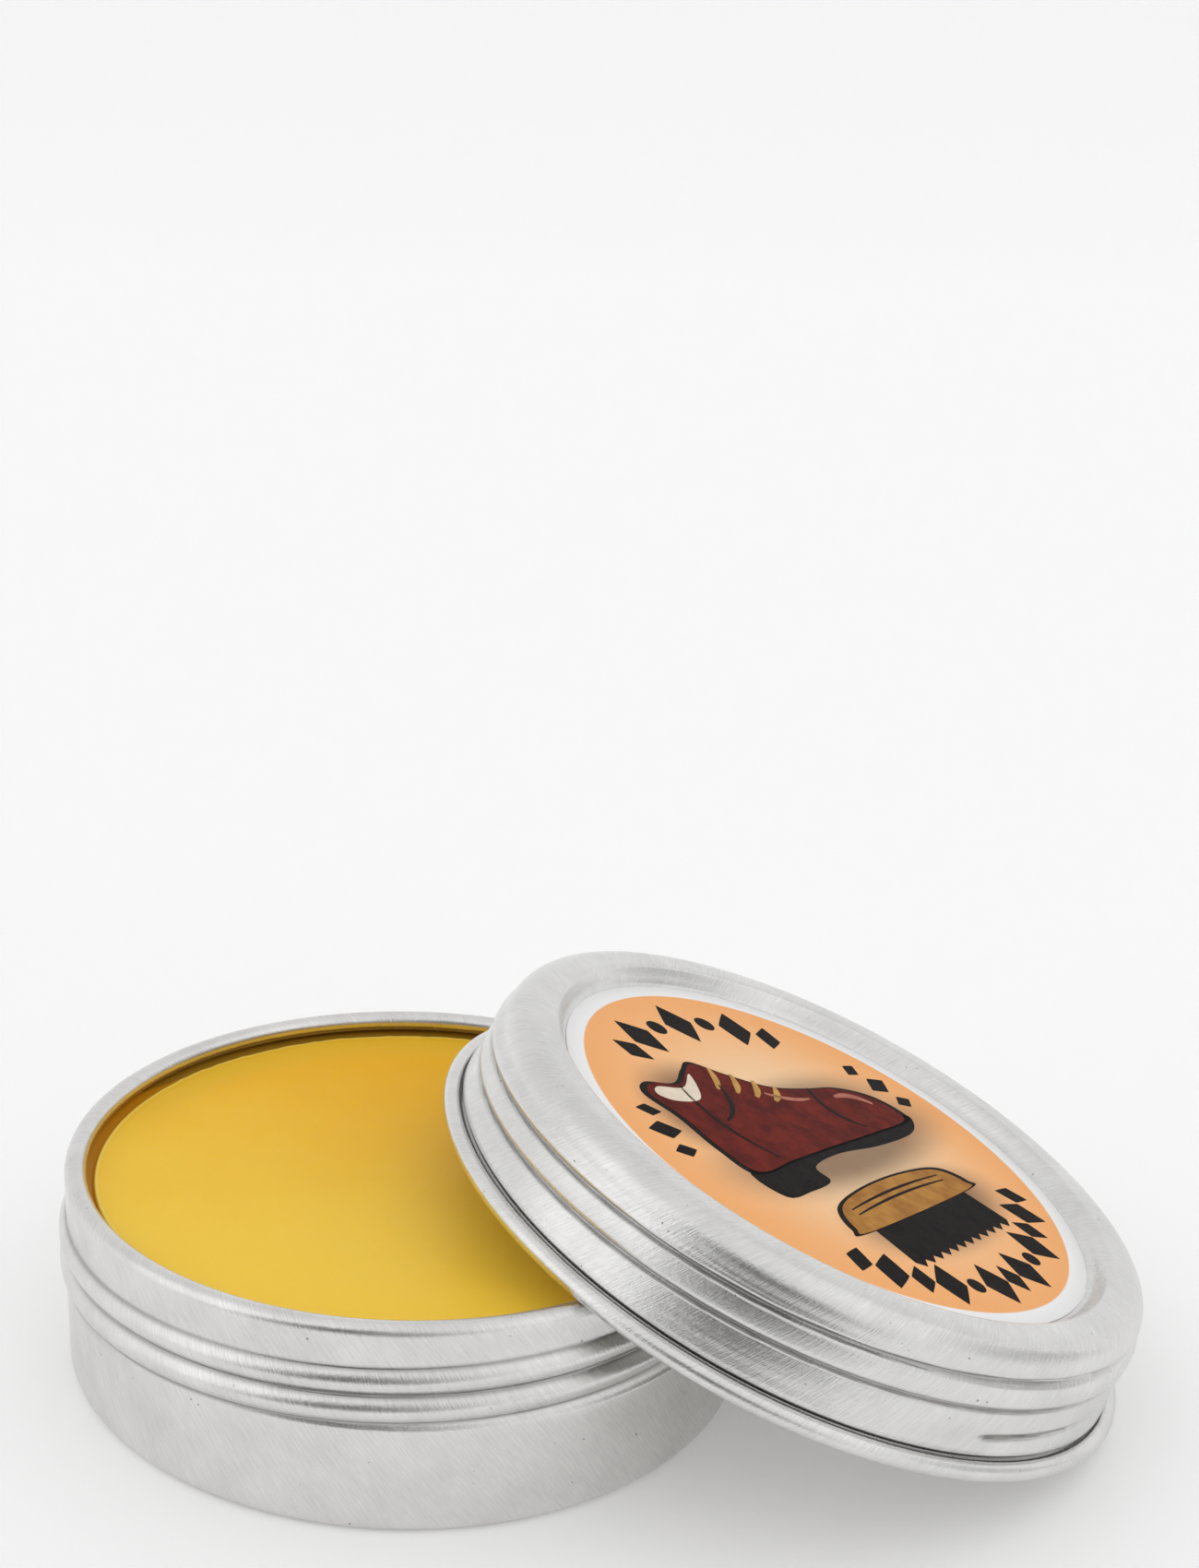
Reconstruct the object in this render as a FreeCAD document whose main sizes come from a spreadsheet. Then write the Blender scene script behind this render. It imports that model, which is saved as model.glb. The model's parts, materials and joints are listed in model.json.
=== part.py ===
import FreeCAD, Part
import Sketcher
import os

# Screw-top tin of shoe polish, lid off and leaning on the tin.
# Origin: centre of the tin's underside, on the table. +Z up, the lid leans towards +X.
# The lid's three pieces are drawn about the lid's own axis, z = 0 at the lowest plane of
# its hem, and then placed together in the leaning position.

doc = FreeCAD.newDocument("polish_tin")
dims = doc.addObject("Spreadsheet::Sheet", "dims")

DRIVING = [
    # tin
    ("body_radius", 34.0, "outside radius of the plain wall"),
    ("sheet", 0.35, "aluminium thickness of the tin"),
    ("corner_radius", 1.2, "outside radius between floor and wall"),
    ("wall_top", 10.2, "height where the plain wall steps in to the neck"),
    ("neck_radius", 33.7, "outside radius of the neck between the thread and the rim"),
    ("neck_start", 10.6, "height where the neck is reached"),
    ("rim_height", 21.15, "top of the rolled rim"),
    ("rim_inner_radius", 31.6, "inside radius of the rolled rim"),
    ("rim_roll_radius", 1.0, "outside radius of the rim's rolled corners"),
    # thread, two starts
    ("thread_lead", 5.7, "rise in one turn"),
    ("thread_turns", 1.03, "turns of each start on the tin"),
    ("bead_crest_radius", 34.4, "outside radius of the tin's thread beads"),
    ("bead_half_width", 1.2, "half the height of a bead"),
    ("bead_start_height", 11.25, "centre of a bead where it starts"),
    ("bead_start_angle", 165.0, "azimuth of the first bead's start"),
    ("press_half_width", 0.95, "half the height of the hollow pressed behind a bead"),
    # polish
    ("fill_radius", 33.25, "radius of the cast polish"),
    ("fill_height", 18.9, "level of the polish above the underside"),
    ("fill_edge_radius", 0.6, "rounded upper edge of the polish"),
    ("fill_foot_radius", 0.9, "rounded lower edge of the polish"),
    # lid
    ("lid_sheet", 0.25, "aluminium thickness of the lid"),
    ("skirt_radius", 34.6, "inside radius of the lid's skirt"),
    ("hem_radius", 0.9, "outside radius of the rolled hem's section"),
    ("skirt_top", 9.9, "height where the skirt ends under the shoulder"),
    ("shoulder_radius", 34.0, "outside radius of the shoulder"),
    ("shoulder_round", 2.6, "rounding of the shoulder"),
    ("lid_height", 12.75, "height of the raised ring"),
    ("ring_inner_radius", 29.3, "inside radius of the raised ring"),
    ("ring_round", 0.7, "rounding of the ring's inner edge"),
    ("panel_radius", 28.5, "radius of the recessed panel"),
    ("panel_height", 10.9, "height of the recessed panel's upper face"),
    ("ridge_turns", 0.88, "turns of each start in the lid"),
    ("ridge_crest_radius", 33.92, "inside radius of the lid's thread ridges"),
    ("ridge_half_width", 0.95, "half the height of a ridge"),
    ("groove_half_width", 0.85, "half the height of the groove behind a ridge"),
    ("ridge_start_height", 3.9, "centre of a ridge where it starts"),
    ("ridge_start_angle", 305.0, "azimuth of the first ridge's start"),
    # label and liner
    ("label_radius", 27.9, "radius of the paper label"),
    ("label_thickness", 0.12, "thickness of the paper label"),
    ("liner_radius", 33.6, "radius of the sealing liner"),
    ("liner_thickness", 1.0, "thickness of the sealing liner"),
    ("liner_gap", 0.1, "air between liner and panel"),
    # leaning position of the lid
    ("lean_angle", 21.85, "tilt of the lid's axis from vertical"),
    ("lean_azimuth", -2.6, "direction the lid leans towards"),
    ("lean_reach", 36.9, "distance of the lid's axis point from the tin's axis"),
    ("lean_height", 13.32, "height of the lid's axis point"),
]

DERIVED = [
    ("inner_radius", "body_radius - sheet"),
    ("floor_edge", "body_radius - corner_radius"),
    ("corner_inside", "corner_radius - sheet"),
    ("neck_inner_radius", "neck_radius - sheet"),
    ("rim_shoulder", "rim_height - rim_roll_radius"),
    ("rim_under", "rim_height - 2 * rim_roll_radius"),
    ("rim_outer_line", "neck_radius - rim_roll_radius"),
    ("rim_inner_line", "rim_inner_radius + rim_roll_radius"),
    ("roll_inside", "rim_roll_radius - sheet"),
    ("roll_lip", "rim_under + sheet"),
    ("roll_lip_radius", "rim_inner_radius + sheet"),
    ("roll_top", "rim_height - sheet"),
    ("bead_root", "neck_radius - sheet / 2"),
    ("bead_low", "bead_start_height - bead_half_width"),
    ("bead_high", "bead_start_height + bead_half_width"),
    ("bead_rise", "bead_crest_radius - bead_root"),
    ("bead_arc", "(bead_half_width ^ 2 + bead_rise ^ 2) / (2 * bead_rise)"),
    ("press_root", "neck_inner_radius - 0.05"),
    ("press_low", "bead_start_height - press_half_width"),
    ("press_high", "bead_start_height + press_half_width"),
    ("press_crest", "bead_crest_radius - sheet"),
    ("press_rise", "press_crest - press_root"),
    ("press_arc", "(press_half_width ^ 2 + press_rise ^ 2) / (2 * press_rise)"),
    ("fill_shoulder", "fill_height - fill_edge_radius"),
    ("fill_edge_line", "fill_radius - fill_edge_radius"),
    ("fill_foot", "sheet + fill_foot_radius"),
    ("fill_foot_line", "fill_radius - fill_foot_radius"),
    ("skirt_outer_radius", "skirt_radius + lid_sheet"),
    ("hem_line", "skirt_radius + hem_radius"),
    ("hem_outer_radius", "hem_line + hem_radius"),
    ("hem_inside", "hem_radius - lid_sheet"),
    ("hem_inside_radius", "hem_line + hem_inside"),
    ("hem_top", "2 * hem_radius"),
    ("hem_top_inside", "hem_top - lid_sheet"),
    ("shoulder_inner_radius", "shoulder_radius - lid_sheet"),
    ("shoulder_line", "shoulder_radius - shoulder_round"),
    ("shoulder_inside", "shoulder_round - lid_sheet"),
    ("shoulder_mid", "lid_height - shoulder_round"),
    ("lid_under", "lid_height - lid_sheet"),
    ("panel_under", "panel_height - lid_sheet"),
    ("ring_line", "ring_inner_radius + ring_round"),
    ("ring_drop", "lid_height - ring_round"),
    ("ring_under_round", "ring_round - lid_sheet"),
    ("ring_under_radius", "ring_inner_radius + lid_sheet"),
    ("panel_under_radius", "panel_radius + lid_sheet"),
    ("ridge_root", "skirt_radius + lid_sheet / 2"),
    ("ridge_low", "ridge_start_height - ridge_half_width"),
    ("ridge_high", "ridge_start_height + ridge_half_width"),
    ("ridge_rise", "ridge_root - ridge_crest_radius"),
    ("ridge_arc", "(ridge_half_width ^ 2 + ridge_rise ^ 2) / (2 * ridge_rise)"),
    ("groove_root", "skirt_outer_radius + 0.05"),
    ("groove_low", "ridge_start_height - groove_half_width"),
    ("groove_high", "ridge_start_height + groove_half_width"),
    ("groove_rise", "groove_root - ridge_crest_radius - lid_sheet"),
    ("groove_arc", "(groove_half_width ^ 2 + groove_rise ^ 2) / (2 * groove_rise)"),
    ("label_top", "panel_height + label_thickness"),
    ("liner_top", "panel_under - liner_gap"),
    ("liner_bottom", "liner_top - liner_thickness"),
]

row = 0
for name, number, note in DRIVING:
    row += 1
    dims.set("A%d" % row, name)
    dims.set("B%d" % row, str(number))
    dims.setAlias("B%d" % row, name)
    dims.set("C%d" % row, note)
for name, formula in DERIVED:
    row += 1
    dims.set("A%d" % row, name)
    dims.set("B%d" % row, "=" + formula)
    dims.setAlias("B%d" % row, name)
doc.recompute()


def cell(name):
    return float(getattr(dims, name))


def origin_object(body, role):
    for item in body.Origin.OriginFeatures:
        if item.Role == role:
            return item
    raise ValueError(role)


def new_body(node):
    body = doc.addObject("PartDesign::Body", node)
    body.Label = node
    return body


def section_sketch(body, name, vertices, arcs, turn=None):
    """Closed section in the body's X-Z plane. vertices: (x cell, z cell), with None for 0.
    arcs: index of the edge that leaves a vertex -> (radius cell, "left" or "right" side of
    the chord the centre lies on, "short" or "long" arc)."""
    sketch = body.newObject("Sketcher::SketchObject", name)
    sketch.AttachmentSupport = [(origin_object(body, "XZ_Plane"), "")]
    sketch.MapMode = "FlatFace"
    if turn is not None:
        spin = FreeCAD.Rotation(FreeCAD.Vector(0, 1, 0), cell(turn))
        sketch.AttachmentOffset = FreeCAD.Placement(FreeCAD.Vector(), spin)
    up = FreeCAD.Vector(0, 0, 1)
    points = []
    for x, z in vertices:
        px = cell(x) if x else 0.0
        pz = cell(z) if z else 0.0
        points.append(FreeCAD.Vector(px, pz, 0))
    count = len(points)
    ends = []
    for i in range(count):
        a = points[i]
        b = points[(i + 1) % count]
        if i not in arcs:
            sketch.addGeometry(Part.LineSegment(a, b), False)
            ends.append((1, 2))
            continue
        radius_cell, side, size = arcs[i]
        r = cell(radius_cell)
        half = (b - a) * 0.5
        reach = max(r * r - half.Length * half.Length, 0.0) ** 0.5
        across = up.cross(half).normalize()
        centre = a + half + across * (reach if side == "left" else -reach)
        # counter-clockwise from a to b when the centre is on the left and the arc is short
        ccw = (side == "left") == (size == "short")
        first, last = (a, b) if ccw else (b, a)
        circle = Part.Circle(centre, up, r)
        low = circle.parameter(first)
        high = circle.parameter(last)
        sketch.addGeometry(Part.ArcOfCircle(circle, low, high), False)
        ends.append((1, 2) if ccw else (2, 1))
    for i in range(count):
        j = (i + 1) % count
        sketch.addConstraint(Sketcher.Constraint("Coincident", i, ends[i][1], j, ends[j][0]))
    for i, (x, z) in enumerate(vertices):
        for kind, name_of_cell, axis in (("DistanceX", x, -2), ("DistanceY", z, -1)):
            if name_of_cell is None:
                sketch.addConstraint(Sketcher.Constraint("PointOnObject", i, ends[i][0], axis))
                continue
            value = cell(name_of_cell)
            index = sketch.addConstraint(
                Sketcher.Constraint(kind, -1, 1, i, ends[i][0], value)
            )
            sketch.setExpression("Constraints[%d]" % index, "dims." + name_of_cell)
    for i, (radius_cell, side, size) in arcs.items():
        index = sketch.addConstraint(Sketcher.Constraint("Radius", i, cell(radius_cell)))
        sketch.setExpression("Constraints[%d]" % index, "dims." + radius_cell)
    return sketch


def revolve(body, name, sketch):
    turned = body.newObject("PartDesign::Revolution", name)
    turned.Profile = sketch
    turned.ReferenceAxis = (sketch, ["V_Axis"])
    turned.Angle = 360.0
    sketch.Visibility = False
    body.Tip = turned
    doc.recompute()
    return turned


def helix(body, kind, name, sketch, turns):
    coil = body.newObject("PartDesign::" + kind, name)
    coil.Profile = sketch
    coil.ReferenceAxis = (sketch, ["V_Axis"])
    coil.Mode = 1
    coil.Pitch = cell("thread_lead")
    coil.Turns = cell(turns)
    coil.Angle = 0.0
    coil.LeftHanded = False
    coil.Reversed = False
    coil.setExpression("Pitch", "dims.thread_lead")
    coil.setExpression("Turns", "dims." + turns)
    body.Tip = coil
    doc.recompute()
    return coil


def two_starts(body, name, originals, sketch):
    pattern = body.newObject("PartDesign::PolarPattern", name)
    pattern.Originals = originals
    pattern.Axis = (sketch, ["V_Axis"])
    pattern.Angle = 360.0
    pattern.Occurrences = 2
    body.Tip = pattern
    doc.recompute()
    return pattern


# ---- tin: drawn cup with an inward rolled rim ----
tin = new_body("tin_base")
tin_section = section_sketch(
    tin,
    "tin_section",
    [
        (None, None),
        ("floor_edge", None),
        ("body_radius", "corner_radius"),
        ("body_radius", "wall_top"),
        ("neck_radius", "neck_start"),
        ("neck_radius", "rim_shoulder"),
        ("rim_outer_line", "rim_height"),
        ("rim_inner_line", "rim_height"),
        ("rim_inner_radius", "rim_shoulder"),
        ("rim_inner_line", "rim_under"),
        ("rim_inner_line", "roll_lip"),
        ("roll_lip_radius", "rim_shoulder"),
        ("rim_inner_line", "roll_top"),
        ("rim_outer_line", "roll_top"),
        ("neck_inner_radius", "rim_shoulder"),
        ("neck_inner_radius", "neck_start"),
        ("inner_radius", "wall_top"),
        ("inner_radius", "corner_radius"),
        ("floor_edge", "sheet"),
        (None, "sheet"),
    ],
    {
        1: ("corner_radius", "left", "short"),
        5: ("rim_roll_radius", "left", "short"),
        7: ("rim_roll_radius", "left", "short"),
        8: ("rim_roll_radius", "left", "short"),
        10: ("roll_inside", "right", "short"),
        11: ("roll_inside", "right", "short"),
        13: ("roll_inside", "right", "short"),
        17: ("corner_inside", "right", "short"),
    },
)
tin_wall = revolve(tin, "tin_wall", tin_section)
bead_section = section_sketch(
    tin,
    "bead_section",
    [("bead_root", "bead_low"), ("bead_root", "bead_high")],
    {0: ("bead_arc", "left", "short")},
    "bead_start_angle",
)
bead = helix(tin, "AdditiveHelix", "bead", bead_section, "thread_turns")
press_section = section_sketch(
    tin,
    "press_section",
    [("press_root", "press_low"), ("press_root", "press_high")],
    {0: ("press_arc", "left", "short")},
    "bead_start_angle",
)
press = helix(tin, "SubtractiveHelix", "press", press_section, "thread_turns")
two_starts(tin, "tin_thread", [bead, press], bead_section)

# ---- polish: cast into the tin, a little shrunk from the wall ----
fill = new_body("polish_fill")
fill_section = section_sketch(
    fill,
    "fill_section",
    [
        (None, "sheet"),
        ("fill_foot_line", "sheet"),
        ("fill_radius", "fill_foot"),
        ("fill_radius", "fill_shoulder"),
        ("fill_edge_line", "fill_height"),
        (None, "fill_height"),
    ],
    {
        1: ("fill_foot_radius", "left", "short"),
        3: ("fill_edge_radius", "left", "short"),
    },
)
revolve(fill, "fill_puck", fill_section)

# ---- lid: raised ring round a recessed panel, ridged skirt, outward rolled hem ----
shell = new_body("lid_shell")
shell_section = section_sketch(
    shell,
    "shell_section",
    [
        (None, "panel_height"),
        (None, "panel_under"),
        ("panel_under_radius", "panel_under"),
        ("ring_under_radius", "ring_drop"),
        ("ring_line", "lid_under"),
        ("shoulder_line", "lid_under"),
        ("shoulder_inner_radius", "shoulder_mid"),
        ("skirt_radius", "skirt_top"),
        ("skirt_radius", "hem_radius"),
        ("hem_line", None),
        ("hem_outer_radius", "hem_radius"),
        ("hem_line", "hem_top"),
        ("hem_line", "hem_top_inside"),
        ("hem_inside_radius", "hem_radius"),
        ("hem_line", "lid_sheet"),
        ("skirt_outer_radius", "hem_radius"),
        ("skirt_outer_radius", "skirt_top"),
        ("shoulder_radius", "shoulder_mid"),
        ("shoulder_line", "lid_height"),
        ("ring_line", "lid_height"),
        ("ring_inner_radius", "ring_drop"),
        ("panel_radius", "panel_height"),
    ],
    {
        3: ("ring_under_round", "right", "short"),
        5: ("shoulder_inside", "right", "short"),
        8: ("hem_radius", "left", "short"),
        9: ("hem_radius", "left", "short"),
        10: ("hem_radius", "left", "short"),
        12: ("hem_inside", "right", "short"),
        13: ("hem_inside", "right", "short"),
        14: ("hem_inside", "right", "short"),
        17: ("shoulder_round", "left", "short"),
        19: ("ring_round", "left", "short"),
    },
)
revolve(shell, "shell_wall", shell_section)
ridge_section = section_sketch(
    shell,
    "ridge_section",
    [("ridge_root", "ridge_high"), ("ridge_root", "ridge_low")],
    {0: ("ridge_arc", "left", "short")},
    "ridge_start_angle",
)
ridge = helix(shell, "AdditiveHelix", "ridge", ridge_section, "ridge_turns")
groove_section = section_sketch(
    shell,
    "groove_section",
    [("groove_root", "groove_high"), ("groove_root", "groove_low")],
    {0: ("groove_arc", "left", "short")},
    "ridge_start_angle",
)
groove = helix(shell, "SubtractiveHelix", "groove", groove_section, "ridge_turns")
two_starts(shell, "lid_thread", [ridge, groove], ridge_section)

# ---- paper label on the panel, sealing liner under it ----
label = new_body("lid_label")
label_section = section_sketch(
    label,
    "label_section",
    [
        (None, "panel_height"),
        ("label_radius", "panel_height"),
        ("label_radius", "label_top"),
        (None, "label_top"),
    ],
    {},
)
revolve(label, "label_disc", label_section)
liner = new_body("lid_liner")
liner_section = section_sketch(
    liner,
    "liner_section",
    [
        (None, "liner_bottom"),
        ("liner_radius", "liner_bottom"),
        ("liner_radius", "liner_top"),
        (None, "liner_top"),
    ],
    {},
)
revolve(liner, "liner_disc", liner_section)

# ---- the lid's pieces lean together, tilt first and then turned to the leaning direction ----
azimuth = FreeCAD.Rotation(FreeCAD.Vector(0, 0, 1), cell("lean_azimuth"))
tilt = FreeCAD.Rotation(FreeCAD.Vector(0, 1, 0), cell("lean_angle"))
for piece in (shell, label, liner):
    reach = azimuth.multVec(FreeCAD.Vector(cell("lean_reach"), 0, cell("lean_height")))
    piece.Placement = FreeCAD.Placement(reach, azimuth.multiply(tilt))
    piece.setExpression("Placement.Base.x", "dims.lean_reach * cos(dims.lean_azimuth * 1deg)")
    piece.setExpression("Placement.Base.y", "dims.lean_reach * sin(dims.lean_azimuth * 1deg)")
    piece.setExpression("Placement.Base.z", "dims.lean_height")
doc.recompute()

nodes = [tin, fill, shell, label, liner]
for thing in doc.Objects:
    for fault in ("Invalid", "Error"):
        if fault in thing.State:
            raise RuntimeError("%s is %s" % (thing.Label, fault))
os.makedirs("parts", exist_ok=True)
for node in nodes:
    if node.Shape.isNull() or not node.Shape.isValid():
        raise RuntimeError("bad shape: " + node.Label)
    node.Shape.exportStep("parts/%s.step" % node.Label)
    print(node.Label, node.Shape.ShapeType, round(node.Shape.Volume, 1), node.Shape.BoundBox)
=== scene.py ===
"""Looks of a screw-top tin of polish with its lid off and leaning on it.

Everything is in metres in the row frame. Outlines and sizes are written in millimetres and
multiplied by MM when a mesh is made.
"""

import json
import math

import bpy
import numpy as np
from mathutils import Matrix, Vector
from mathutils.geometry import tessellate_polygon


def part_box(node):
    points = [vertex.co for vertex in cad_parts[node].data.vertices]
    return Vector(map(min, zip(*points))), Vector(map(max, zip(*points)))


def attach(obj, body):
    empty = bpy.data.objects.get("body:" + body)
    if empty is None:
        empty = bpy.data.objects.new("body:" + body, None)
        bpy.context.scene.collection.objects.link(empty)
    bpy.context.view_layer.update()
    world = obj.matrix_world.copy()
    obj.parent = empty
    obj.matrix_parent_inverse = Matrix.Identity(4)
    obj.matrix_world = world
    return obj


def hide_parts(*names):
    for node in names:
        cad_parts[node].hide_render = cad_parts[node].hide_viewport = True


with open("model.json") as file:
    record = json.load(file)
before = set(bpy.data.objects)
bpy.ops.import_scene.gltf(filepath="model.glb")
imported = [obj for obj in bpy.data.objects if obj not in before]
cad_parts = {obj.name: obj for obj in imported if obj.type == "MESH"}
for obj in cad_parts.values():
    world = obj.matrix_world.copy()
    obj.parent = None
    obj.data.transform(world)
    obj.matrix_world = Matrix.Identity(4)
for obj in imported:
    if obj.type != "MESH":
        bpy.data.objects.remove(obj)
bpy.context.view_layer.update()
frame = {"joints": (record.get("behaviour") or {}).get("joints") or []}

MM = 0.001
TAU = 2 * math.pi

# Rolled thread, the same on the tin and in the lid
LEAD = 5.7
STARTS = 2
BEAD_START_ANGLE = 165.0
BEAD_START_HEIGHT = 11.25
BEAD_TURNS = 1.04
BEAD_HALF_WIDTH = 1.34
BEAD_PROUD = 0.78
GROOVE_START_ANGLE = 294.0
GROOVE_START_HEIGHT = 3.77
GROOVE_TURNS = 1.12
TIN_THREAD = (BEAD_START_ANGLE, BEAD_START_HEIGHT, BEAD_TURNS, 11.0)
LID_THREAD = (GROOVE_START_ANGLE, GROOVE_START_HEIGHT, GROOVE_TURNS, 4.0)

# Sheet metal
TIN_SHEET = 0.35
LID_SHEET = 0.25
BODY_RADIUS = 34.0
NECK_RADIUS = 33.7
ROLL = 1.05

# Paper label
LABEL_RADIUS = 27.9
PRINT_RADIUS = 26.05
LABEL_TURN = 54.0

# Thread relief: groove depth, how much deeper its start is, and the band beside it
GROOVE_DEPTH = 0.4
GROOVE_START_EXTRA = 0.45
GROOVE_BAND = 0.36
# Strength of the painted shade drawn into the creases
CREASE_SHADE_STRENGTH = 0.6

# Lid outline
PANEL = 10.9
LID_TOP = 12.75
CROWN = 2.6
HEM_RADIUS = 35.5
HEM_HEIGHT = 0.95
HEM_ROLL = 0.93

# Polish: radius of its flat, its outer wall and its colours
FLAT_RADIUS = 30.85
FILL_WALL = NECK_RADIUS - TIN_SHEET - 0.02
WAX_PALE = (0.985, 0.63, 0.055)
WAX_DEEP = (0.88, 0.45, 0.003)
# Painted shade for a band near the back edge of the polish
WAX_BACK_SHADE = (0.80, 0.50, 0.035)
WAX_LIP = (0.95, 0.74, 0.20)
WAX_SKIN = (0.58, 0.24, 0.006)
# Painted shade for the gap where the polish has come away from the wall
WAX_GAP_SHADE = (0.46, 0.24, 0.02)

# Light levels
FLOOR_GLOW = 0.17
FLOOR_WHITE = 0.87
FLOOR_GREY = 0.22
ROOM = 0.88
LEFT_BOX = 0.30
RIGHT_BOX = 0.15
DARK_HORIZON = 0.70
DARK_CAMERA = 0.66
DARK_RIGHT = 0.45
FAR_GLOW = 0.08
DARK_SPREAD = (15, 38)
TOWARDS_CAMERA = (-0.24, -0.97, 0.0)


# ---------------------------------------------------------------- places taken from the frame
def lid_matrix():
    """The lid's own frame: z along its axis, z = 0 at the lowest plane of its hem."""
    turn = next(j for j in frame["joints"] if j["name"] == "lid_turn")
    axis = Vector(turn["axis"]).normalized()
    tilt = math.acos(axis.z)
    azimuth = math.atan2(axis.y, axis.x)
    lean = Matrix.Rotation(azimuth, 4, "Z") @ Matrix.Rotation(tilt, 4, "Y")
    return Matrix.Translation(turn["pos_m"]) @ lean


LID = lid_matrix()
TIN = Matrix.Identity(4)
RIM_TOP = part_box("tin_base")[1].z / MM
FILL_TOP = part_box("polish_fill")[1].z / MM


# ---------------------------------------------------------------- mesh helpers
def arc(cx, cz, r, start, end, steps=10):
    """Points on an arc about (cx, cz), angles in degrees."""
    angles = np.radians(np.linspace(start, end, steps))
    return [(cx + r * math.cos(a), cz + r * math.sin(a)) for a in angles]


def resample(points, step):
    """The same outline with no two neighbours further apart than step(r, z)."""
    out = [points[0]]
    for a, b in zip(points, points[1:]):
        gap = math.hypot(b[0] - a[0], b[1] - a[1])
        if gap < 1e-9:
            continue
        count = max(1, math.ceil(gap / step((a[0] + b[0]) / 2, (a[1] + b[1]) / 2)))
        for i in range(1, count + 1):
            t = i / count
            out.append((a[0] + (b[0] - a[0]) * t, a[1] + (b[1] - a[1]) * t))
    return out


def smoothstep(low, high, x):
    t = np.clip((x - low) / (high - low), 0, 1)
    return t * t * (3 - 2 * t)


def add_piece(name, mesh, place, body, node=None):
    """Links a mesh as a piece that rides on a body and stands for a node."""
    piece = bpy.data.objects.new(name, mesh)
    bpy.context.scene.collection.objects.link(piece)
    piece.matrix_world = place
    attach(piece, body)
    if node:
        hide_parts(node)
    return piece


def spun(name, outline, offset=None, segments=480, seam=90.0):
    """An outline of (r, z) spun round Z, moved by offset(phi, r, z) -> (dr, dz). Ends at
    r = 0 close to one point. UV is (distance round, distance along the outline) in metres."""
    outline = np.array(outline, float)
    rows = len(outline)
    phi = np.radians(seam) + np.linspace(0, TAU, segments, endpoint=False)
    r, z = outline[:, :1] + 0 * phi, outline[:, 1:] + 0 * phi
    if offset:
        dr, dz = offset(phi + 0 * r, r, z)
        r, z = np.where(r > 0, r + dr, 0), z + dz
    path = np.concatenate([[0], np.cumsum(np.hypot(*np.diff(outline, axis=0).T))]) * MM
    pole = [k for k in (0, rows - 1) if outline[k, 0] < 1e-6]
    body = [k for k in range(rows) if k not in pole]
    grid = np.stack([r * np.cos(phi), r * np.sin(phi), z], -1)[body] * MM
    verts = [tuple(v) for v in grid.reshape(-1, 3)]
    verts += [(0, 0, z[k].mean() * MM) for k in pole]
    around = BODY_RADIUS * MM * TAU / segments
    k = np.arange(segments)
    faces, uvs = [], []
    for i in range(len(body) - 1):
        low, high = i * segments, (i + 1) * segments
        nxt = (k + 1) % segments
        faces.append(np.stack([low + k, low + nxt, high + nxt, high + k], 1))
        u0, u1 = k * around, (k + 1) * around
        v0, v1 = path[body[i]] + 0 * u0, path[body[i + 1]] + 0 * u0
        uvs.append(np.stack([u0, v0, u1, v0, u1, v1, u0, v1], 1))
    quads = [tuple(f) for f in np.concatenate(faces).tolist()]
    coords = [np.concatenate(uvs).ravel()]
    for n, end in enumerate(pole):
        tip = len(body) * segments + n
        base = 0 if end == 0 else (len(body) - 1) * segments
        v0, v1 = path[end], path[body[0] if end == 0 else body[-1]]
        for j in range(segments):
            a, b = base + j, base + (j + 1) % segments
            quads.append((tip, b, a) if end == 0 else (tip, a, b))
            ends = (j + 1, j) if end == 0 else (j, j + 1)
            mid = (j + 0.5) * around
            coords.append(np.array([mid, v0, ends[0] * around, v1, ends[1] * around, v1]))
    mesh = bpy.data.meshes.new(name)
    mesh.from_pydata(verts, [], quads)
    layer = mesh.uv_layers.new(name="sheet")
    layer.data.foreach_set("uv", np.concatenate(coords).astype(np.float32))
    mesh.shade_smooth()
    return mesh


def cylindrical(mesh):
    """Radius, angle and height of every vertex, in millimetres and radians."""
    co = np.empty(len(mesh.vertices) * 3, np.float32)
    mesh.vertices.foreach_get("co", co)
    x, y, z = (co.reshape(-1, 3) / MM).T
    return np.hypot(x, y), np.arctan2(y, x), z


def point_attribute(mesh, name, values):
    layer = mesh.attributes.new(name, "FLOAT", "POINT")
    layer.data.foreach_set("value", values.astype(np.float32))


# ---------------------------------------------------------------- rolled threads
def helix_passes(phi, z, start_angle, start_height, turns, fade):
    """For each start and lap: height above the thread's centre line, its strength, which
    fades in and out over the last degrees of the thread, and the angle run so far."""
    first, soft, length = math.radians(start_angle), math.radians(fade), turns * TAU
    for start in range(STARTS):
        along = np.mod(phi - first - start * TAU / STARTS, TAU)
        for lap in (0, TAU):
            run = along + lap
            strength = smoothstep(0, soft, run) * (1 - smoothstep(length - soft, length, run))
            yield z - start_height - LEAD * run / TAU, strength, run


def tin_thread(phi, r, z):
    """Rounded beads pressed outwards through the sheet of the neck."""
    grow = np.zeros_like(r)
    for height, strength, _ in helix_passes(phi, z, *TIN_THREAD):
        across = np.clip(1 - (height / BEAD_HALF_WIDTH) ** 2, 0, 1)
        grow = np.maximum(grow, strength * across)
    wall = (z > 8.5) & (z < 19.0) & (r > 33.1)
    return np.where(wall, BEAD_PROUD * grow, 0), np.zeros_like(z)


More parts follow.
